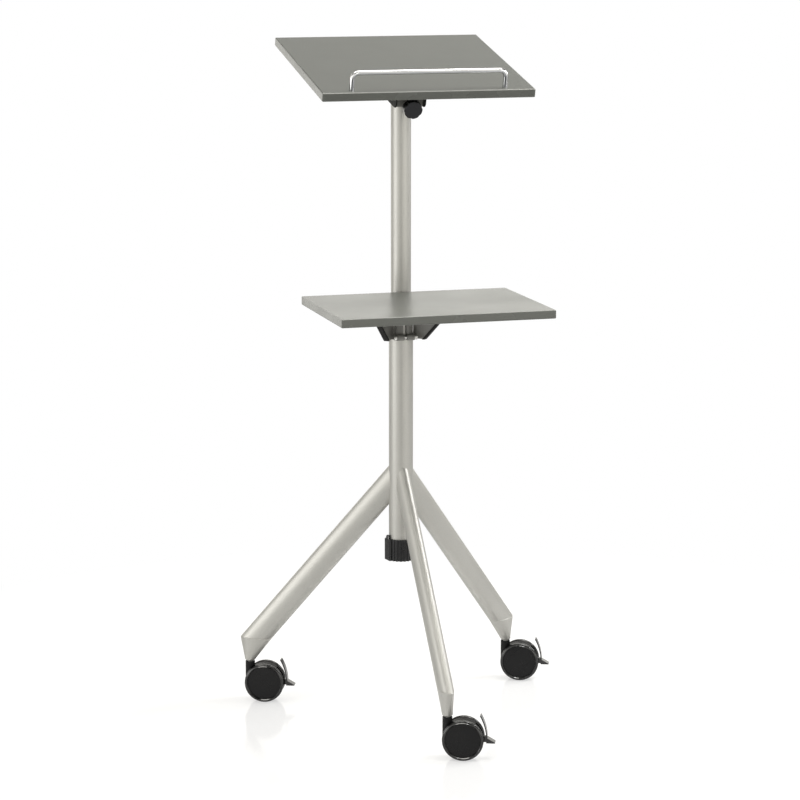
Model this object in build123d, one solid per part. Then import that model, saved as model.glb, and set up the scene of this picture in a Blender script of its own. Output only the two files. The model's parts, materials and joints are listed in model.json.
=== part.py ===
from build123d import *
import math
import os

# Portable projector stand: three castor legs, a telescoping column, a fixed lower shelf and a tilting tray.
# Millimetres. +Z is up, +X is to the user's right and -Y is towards the user.
# Every piece is built about the column's axis. The whole is then moved so that the origin is the middle
# of the footprint, on the floor.

# Driving dimensions: column
UPPER_TUBE_D = 38.0
UPPER_TUBE_WALL = 1.5
SLIDE_CLEARANCE = 0.3
BUSH_WALL = 1.7
BUSH_LENGTH = 45.0
BUSH_FLANGE_T = 4.0
LOWER_TUBE_WALL = 2.0
TUBE_OVERLAP = 196.0
COLUMN_BOTTOM_Z = 307.5

# Column end cap
CAP_WALL = 4.5
CAP_FLOOR = 4.0
CAP_HEIGHT = 42.0
CAP_FLUTES = 22
CAP_FLUTE_R = 2.6
CAP_FLUTE_DEPTH = 2.4
CAP_PAD_DIRECTION = 190.0
CAP_PAD_W = 20.0
CAP_PAD_T = 3.0
CAP_PAD_ROUND = 2.0
CAP_LOOP_REACH = 7.0
CAP_LOOP_W = 5.0
CAP_LOOP_T = 1.6
CAP_LOOP_RISE = 6.0

# Legs and feet
LEG_DIRECTIONS = {"front": -90.0, "left": 150.0, "right": 30.0}
LEG_DEPTH = 49.0
LEG_WIDTH = 27.5
LEG_WALL = 2.0
LEG_SLOPE = 50.0
LEG_ROOT_Z = 475.5
LEG_SEAM_Z = 127.5
CASTOR_CIRCLE_R = 305.0
FOOT_END_D = 20.0
FOOT_END_Z = 80.0
FOOT_CHAMFER = 2.5
PIN_D = 11.0
PIN_IN_FOOT = 30.0
PIN_IN_CASTOR = 36.0

# Castors
CASTOR_TURN = -22.0
WHEEL_D = 77.0
WHEEL_TRAIL = 29.5
WHEEL_W = 9.5
WHEEL_SPACING = 21.0
TYRE_T = 3.5
TYRE_ROUND = 2.5
RIM_W = 2.5
RIM_PROUD = 1.0
DISC_RECESS = 2.2
DISC_DOME = 1.2
DISC_WEB = 2.2
HUB_D = 18.0
AXLE_D = 8.0
RUNNING_CLEARANCE = 0.08
BODY_SIDE_GAP = 1.25
HOOD_INSET = 1.5
HOOD_LOWER_DROP = 14.0
BOSS_GAP = 1.5
BOSS_LENGTH = 42.0
PEDAL_PIVOT_REACH = 29.0
PEDAL_PIVOT_D = 4.0
PEDAL_EYE_D = 11.0
PEDAL_TONGUE_T = 8.0
PEDAL_SLOT_GAP = 0.5
PEDAL_W = 16.0
PEDAL_T = 2.4
PEDAL_GAP = 4.0
PEDAL_ARM_R = 92.0
PEDAL_ARM_SWEEP = 30.0
PEDAL_TAB_REACH = 14.0
PEDAL_TAB_H = 9.5
PEDAL_TAB_DROP = 6.5
PEDAL_TAB_TIP = 1.5

# Lower shelf and its bracket
SHELF_W = 400.0
SHELF_D = 290.0
SHELF_T = 16.0
SHELF_TOP_Z = 825.5
SHELF_COLUMN_GAP = 1.5
BOARD_EDGE_ROUND = 2.0
BRACKET_H = 75.0
JAW_WALL = 5.5
JAW_GAP = 6.0
JAW_LOW_H = 9.5
JAW_FRONT_X = 16.0
SLIT_W = 2.6
CLAMP_BOSS_D = 12.0
CLAMP_BOSS_END_X = 17.0
CLAMP_BOSS_FORWARD = 30.5
CLAMP_BOSS_RISE = 5.0
ARM_SPLAY = 45.0
ARM_OFFSET = 8.5
ARM_T = 4.5
ARM_TOP_REACH = 119.5
ARM_FOOT_REACH = 51.0
ARM_LIP_W = 10.0
ARM_LIP_T = 4.0
ARM_FLANGE_W = 20.0
ARM_FLANGE_T = 3.0
CLAMP_SCREW_D = 6.0
CLAMP_HEAD_D = 10.0
CLAMP_HEAD_L = 6.0

# Tilting head, channel and tray
PIVOT_Z = 1199.5
TRAY_TILT = 12.75
HEAD_BARREL_D = 30.0
HEAD_TUBE_DROP = 24.0
HEAD_NECK_W = 32.0
HEAD_NECK_D = 14.0
HEAD_PLUG_L = 35.0
HEAD_SIDE_GAP = 0.3
PIVOT_BOLT_D = 10.0
PIVOT_HEAD_D = 16.0
PIVOT_HEAD_T = 5.0
CHANNEL_W = 58.0
CHANNEL_T = 2.5
CHANNEL_L = 140.0
CHANNEL_BELOW_PIVOT = 13.0
CHANNEL_CORNER_R = 12.0
TRAY_W = 400.0
TRAY_D = 365.0
TRAY_T = 16.0
TRAY_ABOVE_PIVOT = 39.0
BAR_D = 9.0
BAR_SPAN = 288.0
BAR_HEIGHT = 38.0
BAR_BEND_R = 12.0
BAR_SETBACK = 11.0
BAR_TENON = 8.0

# Clamp knob and the bridge that carries its screw
SCREW_DIP = 6.7
SCREW_D = 7.0
SCREW_TIP_GAP = 0.3
BRIDGE_REACH = 56.0
BRIDGE_T = 6.0
BRIDGE_BELOW_SCREW = 5.5
BRIDGE_ABOVE_SCREW = 15.0
KNOB_D = 35.0
KNOB_T = 15.0
KNOB_LOBES = 6
KNOB_FLUTE_D = 20.0
KNOB_FLUTE_DEPTH = 0.9
KNOB_FIRST_FLUTE = 48.0
KNOB_EDGE_ROUND = 2.0
KNOB_HUB_D = 14.0
KNOB_HUB_L = 9.0
KNOB_BRIDGE_GAP = 6.0

# Values that follow from the driving dimensions
UPPER_TUBE_R = UPPER_TUBE_D / 2
BUSH_BORE_R = UPPER_TUBE_R + SLIDE_CLEARANCE
LOWER_BORE_R = BUSH_BORE_R + BUSH_WALL
LOWER_TUBE_R = LOWER_BORE_R + LOWER_TUBE_WALL
SHELF_UNDER_Z = SHELF_TOP_Z - SHELF_T
SHELF_BACK_Y = -(LOWER_TUBE_R + SHELF_COLUMN_GAP)
COLUMN_TOP_Z = SHELF_UNDER_Z
UPPER_TOP_Z = PIVOT_Z - HEAD_TUBE_DROP
UPPER_BOTTOM_Z = COLUMN_TOP_Z - TUBE_OVERLAP
WHEEL_R = WHEEL_D / 2
LEG_SEAM_REACH = (LEG_ROOT_Z - LEG_SEAM_Z) / math.tan(math.radians(LEG_SLOPE))
WHEEL_INNER = WHEEL_SPACING / 2
WHEEL_OUTER = WHEEL_INNER + WHEEL_W
BODY_T = WHEEL_SPACING - 2 * BODY_SIDE_GAP
BOSS_TOP_Z = FOOT_END_Z - BOSS_GAP
PEDAL_PIVOT_X = WHEEL_TRAIL + PEDAL_PIVOT_REACH
CHANNEL_INNER = CHANNEL_W - 2 * CHANNEL_T

BOTTOM = (Align.CENTER, Align.CENTER, Align.MIN)
TOP = (Align.CENTER, Align.CENTER, Align.MAX)


def rod(radius, length, bottom_z=0.0):
    """Upright round bar standing on the height bottom_z."""
    return Pos(0, 0, bottom_z) * Cylinder(radius, length, align=BOTTOM)


def cross_rod(radius, length):
    """Round bar along X, centred on the origin."""
    return Rot(0, 90, 0) * Cylinder(radius, length)


def tube(outer_r, bore_r, bottom_z, top_z):
    """Upright round tube."""
    return rod(outer_r, top_z - bottom_z, bottom_z) - rod(bore_r, top_z - bottom_z, bottom_z)


def board(width, depth, thickness):
    """Flat board with lightly rounded edges, centred in X and Y, standing on Z = 0."""
    blank = Box(width, depth, thickness, align=BOTTOM)
    return fillet(blank.edges(), BOARD_EDGE_ROUND)


def make_column_bush():
    """Sleeve in the mouth of the lower tube, with a flange on the tube's end."""
    sleeve = tube(LOWER_BORE_R, BUSH_BORE_R, COLUMN_TOP_Z - BUSH_LENGTH, COLUMN_TOP_Z)
    flange = tube(LOWER_TUBE_R, BUSH_BORE_R, COLUMN_TOP_Z, COLUMN_TOP_Z + BUSH_FLANGE_T)
    return sleeve + flange


def arch(width):
    """Outline of the end cap's loop at a width: straight legs under a round top."""
    legs = Rectangle(width, CAP_LOOP_RISE, align=(Align.CENTER, Align.MIN))
    return legs + Pos(0, CAP_LOOP_RISE) * Circle(width / 2)


def make_column_end_cap():
    """Fluted cup under the lower tube, with a smooth pad on one side and a loop standing on the pad."""
    cap_r = LOWER_TUBE_R + CAP_WALL
    cap_z = COLUMN_BOTTOM_Z - CAP_FLOOR
    cup = rod(cap_r, CAP_HEIGHT, cap_z)
    flute = Pos(cap_r + CAP_FLUTE_R - CAP_FLUTE_DEPTH, 0, 0) * rod(CAP_FLUTE_R, CAP_HEIGHT, cap_z)
    for index in range(CAP_FLUTES):
        cup -= Rot(0, 0, index * 360 / CAP_FLUTES) * flute
    pad_depth = CAP_WALL + CAP_PAD_T
    pad = Box(pad_depth, CAP_PAD_W, CAP_HEIGHT, align=(Align.MIN, Align.CENTER, Align.MIN))
    pad = fillet(pad.edges().group_by(Axis.X)[-1], CAP_PAD_ROUND)
    pad = Pos(LOWER_TUBE_R, 0, cap_z) * pad
    loop = arch(CAP_LOOP_REACH) - arch(CAP_LOOP_REACH - 2 * CAP_LOOP_T)
    loop_at = (LOWER_TUBE_R + pad_depth - CAP_LOOP_REACH / 2, 0, cap_z + CAP_HEIGHT - CAP_PAD_ROUND)
    pad += Pos(*loop_at) * extrude(Plane.XZ * loop, CAP_LOOP_W / 2, both=True)
    cup += Rot(0, 0, CAP_PAD_DIRECTION) * pad
    return cup - rod(LOWER_TUBE_R, CAP_HEIGHT, COLUMN_BOTTOM_Z)


def make_leg():
    """Oval tube sloping down along +X, mitred onto the column and cut level at the seam."""
    slope = math.radians(LEG_SLOPE)
    section = Plane((0, 0, LEG_ROOT_Z), x_dir=(math.sin(slope), 0, math.cos(slope)),
                    z_dir=(math.cos(slope), 0, -math.sin(slope)))
    length = (LEG_SEAM_REACH + LEG_DEPTH) / math.cos(slope)
    ring = Ellipse(LEG_DEPTH / 2, LEG_WIDTH / 2) - Ellipse(LEG_DEPTH / 2 - LEG_WALL, LEG_WIDTH / 2 - LEG_WALL)
    leg = extrude(section * ring, length)
    below = Box(4 * LEG_SEAM_REACH, 4 * LEG_WIDTH, LEG_ROOT_Z, align=TOP)
    leg -= Pos(0, 0, LEG_SEAM_Z) * below
    return leg - rod(LOWER_TUBE_R, LEG_ROOT_Z + LEG_DEPTH, 0)


def make_foot():
    """Tapered foot along +X, from the leg's level oval end to the chamfered round end over the castor pin."""
    oval_half = LEG_DEPTH / 2 / math.sin(math.radians(LEG_SLOPE))
    oval = Pos(LEG_SEAM_REACH, 0, LEG_SEAM_Z) * Ellipse(oval_half, LEG_WIDTH / 2)
    end = Pos(CASTOR_CIRCLE_R, 0, FOOT_END_Z + FOOT_CHAMFER) * Circle(FOOT_END_D / 2)
    foot = loft([end.face(), oval.face()])
    chamfered = Cone(FOOT_END_D / 2 - FOOT_CHAMFER, FOOT_END_D / 2, FOOT_CHAMFER, align=BOTTOM)
    foot += Pos(CASTOR_CIRCLE_R, 0, FOOT_END_Z) * chamfered
    return foot - Pos(CASTOR_CIRCLE_R, 0, 0) * rod(PIN_D / 2, PIN_IN_FOOT, FOOT_END_Z)


def make_castor_pin():
    """Steel pin that stands in the foot and carries the castor."""
    return rod(PIN_D / 2, BOSS_GAP + PIN_IN_CASTOR + PIN_IN_FOOT, BOSS_TOP_Z - PIN_IN_CASTOR)


def make_castor_body():
    """Moulded body: a hooded plate between the wheels, the boss for the pin and a slot for the pedal."""
    side = Plane.XZ
    hood_r = WHEEL_R - HOOD_INSET
    plate = Pos(WHEEL_TRAIL, WHEEL_R) * Circle(hood_r)
    plate -= Pos(WHEEL_TRAIL, WHEEL_R - HOOD_LOWER_DROP) * Rectangle(
        4 * hood_r, 2 * hood_r, align=(Align.CENTER, Align.MAX))
    body = extrude(side * plate, BODY_T / 2, both=True)
    boss_bottom = BOSS_TOP_Z - BOSS_LENGTH
    body += rod(BODY_T / 2, BOSS_LENGTH, boss_bottom)
    body -= Pos(0, 0, BOSS_TOP_Z - PIN_IN_CASTOR) * rod(
        PIN_D / 2 + RUNNING_CLEARANCE, PIN_IN_CASTOR + BOSS_GAP)
    axle_at = Pos(WHEEL_TRAIL, 0, WHEEL_R) * Rot(90, 0, 0)
    body -= axle_at * Cylinder(AXLE_D / 2, BODY_T)
    slot_w = PEDAL_TONGUE_T + 2 * PEDAL_SLOT_GAP
    slot_start = PEDAL_PIVOT_X - PEDAL_EYE_D / 2 - 2 * PEDAL_SLOT_GAP
    slot = Box(2 * WHEEL_R, slot_w, 4 * WHEEL_R, align=(Align.MIN, Align.CENTER, Align.CENTER))
    body -= Pos(slot_start, 0, WHEEL_R) * slot
    return body + Pos(PEDAL_PIVOT_X, 0, WHEEL_R) * Rot(90, 0, 0) * Cylinder(PEDAL_PIVOT_D / 2, BODY_T)


def make_axle():
    """Axle through the castor body, ending inside both wheel discs."""
    length = 2 * (WHEEL_OUTER - DISC_RECESS - DISC_WEB)
    return Pos(WHEEL_TRAIL, 0, WHEEL_R) * Rot(90, 0, 0) * Cylinder(AXLE_D / 2, length)


def spin(outline):
    """Turn an outline, drawn as radius and distance along the axle, about the wheel's axle."""
    return Pos(WHEEL_TRAIL, 0, WHEEL_R) * revolve(make_face(outline), Axis.Y)


def make_wheel_disc():
    """Wheel disc of the far wheel: hub, web, a rim standing proud of the tyre and a domed face inside it."""
    rim_r = WHEEL_R - TYRE_T
    face_r = rim_r - RIM_W
    bore_r = AXLE_D / 2 + RUNNING_CLEARANCE
    face_y = WHEEL_OUTER - DISC_RECESS
    web_y = face_y - DISC_WEB
    dome = ThreePointArc((0, face_y + DISC_DOME), (face_r / 2, face_y + DISC_DOME * 3 / 4), (face_r, face_y))
    lip_y = WHEEL_OUTER + RIM_PROUD
    rest = Polyline((face_r, face_y), (face_r + RIM_W / 4, lip_y), (rim_r - RIM_W / 4, lip_y),
                    (rim_r, lip_y - RIM_PROUD / 2), (rim_r, WHEEL_INNER), (face_r, WHEEL_INNER),
                    (face_r, web_y), (HUB_D / 2, web_y), (HUB_D / 2, WHEEL_INNER), (bore_r, WHEEL_INNER),
                    (bore_r, web_y + RUNNING_CLEARANCE), (0, web_y + RUNNING_CLEARANCE),
                    (0, face_y + DISC_DOME))
    return spin(dome + rest)


def make_tyre():
    """Tyre of the far wheel, round at both shoulders."""
    rim_r = WHEEL_R - TYRE_T
    section = Pos((rim_r + WHEEL_R) / 2, (WHEEL_INNER + WHEEL_OUTER) / 2) * Rectangle(TYRE_T, WHEEL_W)
    section = fillet(section.vertices().group_by(Axis.X)[-1], TYRE_ROUND)
    return Pos(WHEEL_TRAIL, 0, WHEEL_R) * revolve(section, Axis.Y)


def make_brake_pedal():
    """Rocking pedal behind the wheels: curved release arm, wedge tab to press, and a tongue to the pivot."""
    side = Plane.XZ
    wall_x = WHEEL_TRAIL + WHEEL_R + PEDAL_GAP
    centre = (wall_x + PEDAL_T - PEDAL_ARM_R, WHEEL_R)
    sweep_end = math.radians(PEDAL_ARM_SWEEP)
    sweep_mid = sweep_end / 2

    def on_arm(radius, angle):
        return (centre[0] + radius * math.cos(angle), centre[1] + radius * math.sin(angle))

    inner_r = PEDAL_ARM_R - PEDAL_T
    arm = ThreePointArc(on_arm(PEDAL_ARM_R, 0), on_arm(PEDAL_ARM_R, sweep_mid), on_arm(PEDAL_ARM_R, sweep_end))
    arm += Line(on_arm(PEDAL_ARM_R, sweep_end), on_arm(inner_r, sweep_end))
    arm += ThreePointArc(on_arm(inner_r, sweep_end), on_arm(inner_r, sweep_mid), on_arm(inner_r, 0))
    arm += Line(on_arm(inner_r, 0), on_arm(PEDAL_ARM_R, 0))
    tab_bottom = WHEEL_R - PEDAL_TAB_DROP
    tab_tip_x = wall_x + PEDAL_T + PEDAL_TAB_REACH
    tab = Polyline((wall_x, tab_bottom), (tab_tip_x, tab_bottom), (tab_tip_x, tab_bottom + PEDAL_TAB_TIP),
                   (wall_x + PEDAL_T, tab_bottom + PEDAL_TAB_H), (wall_x, tab_bottom + PEDAL_TAB_H),
                   (wall_x, tab_bottom))
    lever = extrude(side * (make_face(arm) + make_face(tab)), PEDAL_W / 2, both=True)
    reach = wall_x - PEDAL_PIVOT_X
    tongue = Rectangle(reach + PEDAL_T / 2, PEDAL_EYE_D, align=(Align.MIN, Align.CENTER))
    tongue += Circle(PEDAL_EYE_D / 2)
    lever += extrude(side * Pos(PEDAL_PIVOT_X, WHEEL_R) * tongue, PEDAL_TONGUE_T / 2, both=True)
    bore = Cylinder(PEDAL_PIVOT_D / 2 + RUNNING_CLEARANCE, PEDAL_W)
    return lever - Pos(PEDAL_PIVOT_X, 0, WHEEL_R) * Rot(90, 0, 0) * bore


def make_shelf_bracket():
    """Right half of the shelf bracket: clamp jaw, its boss and a splayed arm with a lip and a screw flange."""
    foot_z = SHELF_UNDER_Z - BRACKET_H
    slit_z = foot_z + JAW_LOW_H
    jaw_r = LOWER_TUBE_R + JAW_WALL
    from_gap = Pos(JAW_GAP / 2, 0)
    right_half = from_gap * Rectangle(4 * jaw_r, 4 * jaw_r, align=(Align.MIN, Align.CENTER))
    front = from_gap * Rectangle(JAW_FRONT_X - JAW_GAP / 2, jaw_r, align=(Align.MIN, Align.MAX))
    half = Pos(0, 0, foot_z) * extrude(Circle(jaw_r) & right_half, JAW_LOW_H)
    half += Pos(0, 0, foot_z) * extrude(Circle(jaw_r) & front, BRACKET_H)
    boss_l = CLAMP_BOSS_END_X - JAW_GAP / 2
    boss_z = foot_z + CLAMP_BOSS_RISE
    boss_at = Pos(JAW_GAP / 2 + boss_l / 2, -CLAMP_BOSS_FORWARD, boss_z)
    half += boss_at * cross_rod(CLAMP_BOSS_D / 2, boss_l)

    splay = math.radians(ARM_SPLAY)
    upright = Plane((ARM_OFFSET * math.cos(splay), ARM_OFFSET * math.sin(splay), 0),
                    x_dir=(math.sin(splay), -math.cos(splay), 0),
                    z_dir=(-math.cos(splay), -math.sin(splay), 0))
    inner = math.sqrt((LOWER_TUBE_R + SLIT_W) ** 2 - ARM_OFFSET ** 2)
    buried = LOWER_TUBE_R / 2
    web = make_face(Polyline((inner, slit_z), (inner, SHELF_UNDER_Z), (ARM_TOP_REACH, SHELF_UNDER_Z),
                             (ARM_FOOT_REACH, foot_z), (buried, foot_z), (buried, slit_z), (inner, slit_z)))
    half += extrude(upright * web, ARM_T)
    slant = math.atan2(BRACKET_H, ARM_TOP_REACH - ARM_FOOT_REACH)
    inset = ARM_LIP_T / math.sin(slant)
    lip = Polyline((ARM_TOP_REACH, SHELF_UNDER_Z), (ARM_FOOT_REACH, foot_z), (ARM_FOOT_REACH - inset, foot_z),
                   (ARM_TOP_REACH - inset, SHELF_UNDER_Z), (ARM_TOP_REACH, SHELF_UNDER_Z))
    half += extrude(upright * make_face(lip), ARM_LIP_W)
    strip = Rectangle(ARM_TOP_REACH, ARM_FLANGE_T, align=(Align.MIN, Align.MAX))
    half += extrude(upright * (web & Pos(inner, SHELF_UNDER_Z) * strip), ARM_FLANGE_W)

    half -= rod(LOWER_TUBE_R, BRACKET_H + CLAMP_BOSS_D, foot_z - CLAMP_BOSS_D)
    return half - Pos(0, -CLAMP_BOSS_FORWARD, boss_z) * cross_rod(CLAMP_SCREW_D / 2, 4 * CLAMP_BOSS_END_X)


def make_clamp_screw():
    """Screw across the front gap of the shelf bracket, with its head and nut on the two bosses."""
    screw = cross_rod(CLAMP_SCREW_D / 2, 2 * (CLAMP_BOSS_END_X + CLAMP_HEAD_L))
    for side in (-1, 1):
        head_x = side * (CLAMP_BOSS_END_X + CLAMP_HEAD_L / 2)
        screw += Pos(head_x, 0, 0) * cross_rod(CLAMP_HEAD_D / 2, CLAMP_HEAD_L)
    return Pos(0, -CLAMP_BOSS_FORWARD, SHELF_UNDER_Z - BRACKET_H + CLAMP_BOSS_RISE) * screw


def make_tilt_head():
    """Head in the upper tube: plug and a narrow neck, saddled to the barrel that it carries."""
    head = rod(UPPER_TUBE_R - UPPER_TUBE_WALL, HEAD_PLUG_L, UPPER_TOP_Z - HEAD_PLUG_L)
    head += Pos(0, 0, UPPER_TOP_Z) * Box(HEAD_NECK_W, HEAD_NECK_D, HEAD_TUBE_DROP, align=BOTTOM)
    return head - Pos(0, 0, PIVOT_Z) * cross_rod(HEAD_BARREL_D / 2, CHANNEL_W)


def make_tilt_barrel():
    """Cross barrel on the head's neck, bored for the pivot bolt."""
    barrel = cross_rod(HEAD_BARREL_D / 2, CHANNEL_INNER - 2 * HEAD_SIDE_GAP)
    return Pos(0, 0, PIVOT_Z) * (barrel - cross_rod(PIVOT_BOLT_D / 2 + RUNNING_CLEARANCE, CHANNEL_W))


def make_tray_board():
    """Tray board over the pivot, with blind holes for the stop bar's ends."""
    blank = Pos(0, 0, TRAY_ABOVE_PIVOT) * board(TRAY_W, TRAY_D, TRAY_T)
    hole = rod(BAR_D / 2, BAR_TENON, TRAY_ABOVE_PIVOT + TRAY_T - BAR_TENON)
    for side in (-1, 1):
        blank -= Pos(side * BAR_SPAN / 2, BAR_SETBACK - TRAY_D / 2, 0) * hole
    return blank


def make_stop_bar():
    """Bent rod along the tray's front edge, its ends let into the board."""
    top = TRAY_ABOVE_PIVOT + TRAY_T
    low = top - BAR_TENON
    high = top + BAR_HEIGHT - BAR_D / 2
    y = BAR_SETBACK - TRAY_D / 2
    half = BAR_SPAN / 2
    path = FilletPolyline((-half, y, low), (-half, y, high), (half, y, high), (half, y, low), radius=BAR_BEND_R)
    return sweep(Plane((-half, y, low)) * Circle(BAR_D / 2), path)


def make_tilt_channel():
    """Folded channel under the tray, its two cheeks bored for the pivot bolt."""
    height = TRAY_ABOVE_PIVOT + CHANNEL_BELOW_PIVOT
    cheek = Pos(0, -CHANNEL_BELOW_PIVOT) * Rectangle(CHANNEL_L, height, align=(Align.CENTER, Align.MIN))
    cheek = fillet(cheek.vertices().group_by(Axis.Y)[0], CHANNEL_CORNER_R)
    cheek -= Circle(PIVOT_BOLT_D / 2)
    plate = extrude(Plane.YZ * cheek, CHANNEL_T)
    channel = Pos(0, 0, TRAY_ABOVE_PIVOT) * Box(CHANNEL_W, CHANNEL_L, CHANNEL_T, align=TOP)
    channel += Pos(CHANNEL_INNER / 2, 0, 0) * plate
    return channel + Pos(-CHANNEL_W / 2, 0, 0) * plate


def make_pivot_bolt():
    """Bolt through both cheeks and the barrel."""
    bolt = cross_rod(PIVOT_BOLT_D / 2, CHANNEL_W)
    for side in (-1, 1):
        head = cross_rod(PIVOT_HEAD_D / 2, PIVOT_HEAD_T)
        bolt += Pos(side * (CHANNEL_W + PIVOT_HEAD_T) / 2, 0, 0) * head
    return bolt


def make_clamp_bridge():
    """Bar between the cheeks that carries the clamp screw, square to the screw."""
    height = BRIDGE_BELOW_SCREW + BRIDGE_ABOVE_SCREW
    bar = Pos(0, 0, -BRIDGE_BELOW_SCREW) * Box(CHANNEL_INNER, BRIDGE_T, height, align=BOTTOM)
    bar -= Rot(90, 0, 0) * Cylinder(SCREW_D / 2 + RUNNING_CLEARANCE, BRIDGE_T)
    return Rot(SCREW_DIP, 0, 0) * Pos(0, -BRIDGE_REACH, 0) * bar


def make_tilt_knob():
    """Lobed hand knob with its hub and clamp screw, the screw's tip against the barrel."""
    hub_start = BRIDGE_REACH + BRIDGE_T / 2 + KNOB_BRIDGE_GAP
    head_start = hub_start + KNOB_HUB_L
    outline = Circle(KNOB_D / 2)
    flute_at = KNOB_D / 2 + KNOB_FLUTE_D / 2 - KNOB_FLUTE_DEPTH
    for index in range(KNOB_LOBES):
        turn = KNOB_FIRST_FLUTE + index * 360 / KNOB_LOBES
        outline -= Rot(0, 0, turn) * Pos(0, flute_at) * Circle(KNOB_FLUTE_D / 2)
    grip = extrude(outline, KNOB_T)
    grip = fillet(grip.edges().group_by(Axis.Z)[-1], KNOB_EDGE_ROUND)
    tip = HEAD_BARREL_D / 2 + SCREW_TIP_GAP
    knob = rod(SCREW_D / 2, head_start - tip, tip)
    knob += rod(KNOB_HUB_D / 2, KNOB_HUB_L, hub_start)
    knob += Pos(0, 0, head_start) * grip
    return Rot(SCREW_DIP, 0, 0) * Rot(90, 0, 0) * knob


def tilted(shape):
    """Place a piece that was built level about the pivot at the tray's tilt."""
    return Pos(0, 0, PIVOT_Z) * Rot(TRAY_TILT, 0, 0) * shape


def build_stand():
    """Every piece by its name, about the column's axis."""
    pieces = {}
    pieces["lower_column"] = tube(LOWER_TUBE_R, LOWER_BORE_R, COLUMN_BOTTOM_Z, COLUMN_TOP_Z)
    pieces["column_bush"] = make_column_bush()
    pieces["column_end_cap"] = make_column_end_cap()
    pieces["upper_column"] = tube(UPPER_TUBE_R, UPPER_TUBE_R - UPPER_TUBE_WALL, UPPER_BOTTOM_Z, UPPER_TOP_Z)
    pieces["tilt_head"] = make_tilt_head()
    pieces["tilt_barrel"] = make_tilt_barrel()

    shelf_at = Pos(0, SHELF_BACK_Y - SHELF_D / 2, SHELF_UNDER_Z)
    pieces["shelf_board"] = shelf_at * board(SHELF_W, SHELF_D, SHELF_T)
    bracket = make_shelf_bracket()
    pieces["shelf_bracket_right"] = bracket
    pieces["shelf_bracket_left"] = mirror(bracket, Plane.YZ)
    pieces["bracket_clamp_screw"] = make_clamp_screw()

    pieces["tray_board"] = tilted(make_tray_board())
    pieces["stop_bar"] = tilted(make_stop_bar())
    pieces["tilt_channel"] = tilted(make_tilt_channel())
    pieces["tilt_pivot_bolt"] = tilted(make_pivot_bolt())
    pieces["clamp_bridge"] = tilted(make_clamp_bridge())
    pieces["tilt_knob"] = tilted(make_tilt_knob())

    leg = make_leg()
    foot = make_foot()
    pin = make_castor_pin()
    body = make_castor_body()
    axle = make_axle()
    disc = make_wheel_disc()
    tyre = make_tyre()
    pedal = make_brake_pedal()
    across = Pos(WHEEL_TRAIL, 0, 0) * Rot(0, 0, 180) * Pos(-WHEEL_TRAIL, 0, 0)
    for name, direction in LEG_DIRECTIONS.items():
        spread = Rot(0, 0, direction)
        stem = spread * Pos(CASTOR_CIRCLE_R, 0, 0) * Rot(0, 0, CASTOR_TURN - direction)
        pieces[f"leg_{name}"] = spread * leg
        pieces[f"foot_{name}"] = spread * foot
        pieces[f"castor_pin_{name}"] = stem * pin
        pieces[f"castor_body_{name}"] = stem * body
        pieces[f"castor_axle_{name}"] = stem * axle
        pieces[f"wheel_disc_{name}_a"] = stem * disc
        pieces[f"tyre_{name}_a"] = stem * tyre
        pieces[f"wheel_disc_{name}_b"] = stem * across * disc
        pieces[f"tyre_{name}_b"] = stem * across * tyre
        pieces[f"brake_pedal_{name}"] = stem * pedal
    return pieces


def footprint_shift(pieces):
    """Move that brings the middle of the footprint to the origin."""
    boxes = [shape.bounding_box() for shape in pieces.values()]
    mid_x = (min(box.min.X for box in boxes) + max(box.max.X for box in boxes)) / 2
    mid_y = (min(box.min.Y for box in boxes) + max(box.max.Y for box in boxes)) / 2
    return Pos(-mid_x, -mid_y, 0)


os.makedirs("parts", exist_ok=True)
stand = build_stand()
shift = footprint_shift(stand)
for node, shape in stand.items():
    export_step(shift * shape, f"parts/{node}.step")
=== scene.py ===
"""Looks of a portable projector stand: its finishes, the finer pieces, and a plain studio round it.

Everything is in metres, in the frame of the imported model: +Z is up, and the stop bar's side faces -Y.
Sizes are written in millimetres and turned to metres with MM.
"""

import json
import logging
import math
from dataclasses import dataclass, field
from enum import Enum
from functools import partial
from typing import Callable, Sequence

import bmesh
import bpy
from mathutils import Matrix, Vector


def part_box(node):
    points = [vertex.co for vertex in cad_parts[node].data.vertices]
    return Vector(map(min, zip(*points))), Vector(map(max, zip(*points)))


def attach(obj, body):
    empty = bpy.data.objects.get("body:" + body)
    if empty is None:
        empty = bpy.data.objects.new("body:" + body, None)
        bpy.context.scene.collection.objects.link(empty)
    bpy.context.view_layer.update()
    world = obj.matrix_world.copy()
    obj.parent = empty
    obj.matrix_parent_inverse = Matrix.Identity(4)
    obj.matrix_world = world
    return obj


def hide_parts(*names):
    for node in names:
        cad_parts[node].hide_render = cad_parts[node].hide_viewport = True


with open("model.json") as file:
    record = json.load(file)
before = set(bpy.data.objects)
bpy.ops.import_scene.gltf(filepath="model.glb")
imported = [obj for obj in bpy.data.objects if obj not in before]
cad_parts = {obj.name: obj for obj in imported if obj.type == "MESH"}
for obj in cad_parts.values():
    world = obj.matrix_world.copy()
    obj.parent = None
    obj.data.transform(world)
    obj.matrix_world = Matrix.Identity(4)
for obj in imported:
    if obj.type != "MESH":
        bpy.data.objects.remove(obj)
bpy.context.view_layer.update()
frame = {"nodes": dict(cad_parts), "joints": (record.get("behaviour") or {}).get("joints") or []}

logging.basicConfig(level=logging.INFO, format="%(name)s: %(message)s")
LOG = logging.getLogger("stand")

MM = 0.001
LEGS = ("front", "left", "right")
WELD_DISTANCE = 0.001 * MM
FLAT_ANGLE = math.radians(0.3)
SHARP_ANGLE = math.radians(35)
EASED_ANGLE = math.radians(30)
WHITE = (1.0, 1.0, 1.0, 1.0)

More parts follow.
